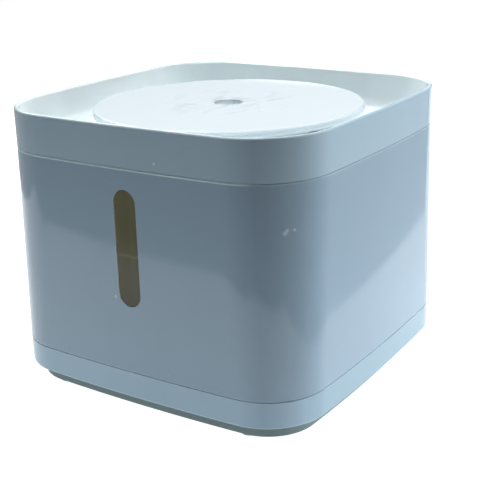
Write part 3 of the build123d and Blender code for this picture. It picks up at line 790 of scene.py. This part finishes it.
class FOUNTAIN_OT_pump(bpy.types.Operator):
    """Pump housing, rotor, riser and the foam cap over the intake"""

    bl_idname = "fountain.pump"
    bl_label = "Pump"

    ground_steel = (0.7, 0.71, 0.72)

    def execute(self, context):
        look = context.scene.fountain_colours
        pump = moulded_matte("pump_plastic", look.pump, roughness=0.42, grain=700.0)
        dress(["pump_housing", "pump_foot_cap", "volute_cover", "inlet_cage"], pump)
        impeller = moulded_matte(
            "impeller_plastic", look.cartridge, roughness=0.4, grain=700.0, mottle=0.05
        )
        dress(["impeller"], impeller)
        silicone = soft_rubber("pump_silicone", look.silicone, roughness=0.45)
        dress(["riser_tube", "rear_bush", "front_bush"], silicone)
        dress(["pump_shaft"], plated_steel("shaft_ground", self.ground_steel, roughness=0.15))
        foam = open_foam("foam_cells", look.foam)
        dress(["foam_prefilter"], foam)
        softened(
            "foam_cap", "foam_prefilter", "pump", "inlet_foam", foam,
            grain=0.0006, relief=context.scene.fountain_sizes.foam_relief, lumps=0.003,
        )
        return {"FINISHED"}


class FOUNTAIN_OT_filter(bpy.types.Operator):
    """Filter cartridge with its cotton pad and carbon"""

    bl_idname = "fountain.filter"
    bl_label = "Filter"

    cotton = (0.82, 0.83, 0.81)
    carbon = (0.012, 0.012, 0.013)

    def execute(self, context):
        look = context.scene.fountain_colours
        cartridge = moulded_matte(
            "cartridge_satin", look.cartridge, roughness=0.38, grain=500.0, mottle=0.04
        )
        dress(["filter_cup", "filter_cover"], cartridge)
        felt = felted_cotton("cotton_felt", self.cotton)
        dress(["cotton_pad"], felt)
        softened(
            "cotton_felt_pad", "cotton_pad", "filter", "filter_cotton", felt,
            grain=0.0009, relief=context.scene.fountain_sizes.felt_relief, lumps=0.006,
        )
        dress(["carbon_granules"], carbon_grains("carbon_grains", self.carbon))
        return {"FINISHED"}


class FOUNTAIN_OT_stage(bpy.types.Operator):
    """Pale floor, soft boxes and the camera"""

    bl_idname = "fountain.stage"
    bl_label = "Stage"

    floor_reach = 9.0
    floor_gap = 0.0003

    # Edges of the white sheet that the shell mirrors
    sheet_front = 0.297
    sheet_side = 0.174
    sheet_left = 0.462
    sheet_corner = 0.43
    sheet_fade = 0.008
    sheet_flare = 0.35
    flare_start = 0.06
    sheet_white = (0.855, 0.888, 0.918)

    body_middle = (0, 0, 0.08)
    card_middle = (0, 0, 0.075)
    card_size = (1.2, 0.14)

    # Name, place, target, size, watts, and whether the shell mirrors it
    softboxes = (
        ("overhead_wide", (0.0, 0.1, 1.5), body_middle, (1.4, 1.4), 15.4, False),
        ("overhead_near", (0.05, 0.25, 0.8), body_middle, (0.6, 0.6), 6.4, False),
        ("high_left", (-1.0, 0.4, 1.1), body_middle, (1.0, 1.0), 12.0, True),
        ("card_right", (1.2, 1.2, 0.075), card_middle, card_size, 33.7, False),
        ("card_front", (-0.9, -1.6, 0.075), card_middle, card_size, 2.8, False),
        ("card_left", (-1.6, 0.1, 0.075), card_middle, card_size, 2.0, False),
        ("card_back", (0.0, 1.8, 0.075), card_middle, card_size, 5.5, False),
    )

    sensor_width = 36.0
    camera_place_mm = (307.97, -460.56, 254.36)
    camera_right = (0.83982, 0.54227, -0.0254)
    camera_up = (-0.15294, 0.28123, 0.94737)

    def execute(self, context):
        settings = context.scene.fountain_stage
        self.floor(settings.floor, settings.glow)
        for softbox in self.softboxes:
            self.softbox(*softbox)
        self.air()
        self.camera(settings.focal_length)
        context.scene.view_settings.view_transform = "Standard"
        return {"FINISHED"}

    def floor(self, colour, glow):
        """Pale table that glows evenly to the eye, while the shell mirrors a sheet with edges."""
        bm = bmesh.new()
        bmesh.ops.create_grid(bm, x_segments=1, y_segments=1, size=self.floor_reach)
        bmesh.ops.translate(bm, verts=bm.verts, vec=(0, 0, -self.floor_gap))
        mesh = bpy.data.meshes.new("studio_floor")
        bm.to_mesh(mesh)
        bm.free()
        paper = Finish("floor_paper", colour, 0.9, Specular_IOR_Level=0.2, Emission_Strength=glow)
        x, y, _ = paper.axes()
        flare = ((self.flare_start - y) * self.sheet_flare).higher(0.0)
        edges = (
            y + self.sheet_front, x + self.sheet_left, self.sheet_side + flare - x,
            self.sheet_corner + y - x,
        )
        lit = 1
        for inside in edges:
            lit = lit * (inside / self.sheet_fade + 0.5).clamped()
        mirrored = paper.blend(lit, (0, 0, 0), self.sheet_white)
        seen = paper.node("ShaderNodeLightPath", {}, output="Is Camera Ray")
        paper.set(Emission_Color=paper.blend(seen, mirrored, (1, 1, 1)))
        mesh.materials.append(paper.material)
        floor = bpy.data.objects.new("studio_floor", mesh)
        bpy.context.scene.collection.objects.link(floor)

    def softbox(self, name, place, target, size, power, mirrored):
        """Area light that faces its target."""
        lamp = bpy.data.lights.new(name, "AREA")
        lamp.shape = "RECTANGLE"
        lamp.size, lamp.size_y = size
        lamp.energy = power
        box = bpy.data.objects.new(name, lamp)
        box.location = place
        box.visible_glossy = mirrored
        aim = Vector(target) - Vector(place)
        box.rotation_euler = aim.to_track_quat("-Z", "Y").to_euler()
        bpy.context.scene.collection.objects.link(box)

    def air(self):
        """World that is white to the camera and gives no light."""
        world = bpy.data.worlds.new("studio_air")
        world.use_nodes = True
        air = Graph(world.node_tree)
        sky = air.tree.nodes["Background"]
        air.feed(sky.inputs["Color"], (1, 1, 1))
        seen = air.node("ShaderNodeLightPath", {}, output="Is Camera Ray")
        air.feed(sky.inputs["Strength"], seen)
        bpy.context.scene.world = world

    def camera(self, focal_length):
        """Camera in front, to the right and a little above."""
        lens = bpy.data.cameras.new("view_camera")
        lens.sensor_width = self.sensor_width
        lens.lens = focal_length
        camera = bpy.data.objects.new("view_camera", lens)
        right = Vector(self.camera_right)
        up = Vector(self.camera_up)
        turn = Matrix((right, up, right.cross(up))).transposed().to_4x4()
        place = Vector(self.camera_place_mm) * MM
        camera.matrix_world = Matrix.Translation(place) @ turn
        bpy.context.scene.collection.objects.link(camera)
        bpy.context.scene.camera = camera


class FOUNTAIN_PT_panel(bpy.types.Panel):
    """Lists the fountain's colours, sizes and pieces"""

    bl_label = "Fountain"
    bl_idname = "FOUNTAIN_PT_panel"
    bl_space_type = "VIEW_3D"
    bl_region_type = "UI"
    bl_category = "Fountain"

    def draw(self, context):
        for group in GROUPS:
            settings = getattr(context.scene, group)
            for name in settings.__annotations__:
                self.layout.prop(settings, name)
        for operator in OPERATORS:
            self.layout.operator(operator.bl_idname)


OPERATORS = (
    FOUNTAIN_OT_shell,
    FOUNTAIN_OT_drip_lip,
    FOUNTAIN_OT_plinth,
    FOUNTAIN_OT_window,
    FOUNTAIN_OT_electronics,
    FOUNTAIN_OT_pump,
    FOUNTAIN_OT_filter,
    FOUNTAIN_OT_stage,
)
GROUPS = {
    "fountain_colours": FountainColours,
    "fountain_sizes": FountainSizes,
    "fountain_stage": FountainStage,
}


def register():
    for item in (*GROUPS.values(), *OPERATORS, FOUNTAIN_PT_panel):
        bpy.utils.register_class(item)
    for name, group in GROUPS.items():
        setattr(bpy.types.Scene, name, bpy.props.PointerProperty(type=group))


def unregister():
    for name in GROUPS:
        delattr(bpy.types.Scene, name)
    for item in reversed((*GROUPS.values(), *OPERATORS, FOUNTAIN_PT_panel)):
        bpy.utils.unregister_class(item)


def main():
    """Dresses the fountain and sets up its studio."""
    register()
    bpy.ops.fountain.shell()
    bpy.ops.fountain.drip_lip()
    bpy.ops.fountain.plinth()
    bpy.ops.fountain.window()
    bpy.ops.fountain.electronics()
    bpy.ops.fountain.pump()
    bpy.ops.fountain.filter()
    bpy.ops.fountain.stage()


if __name__ == "__main__":
    main()
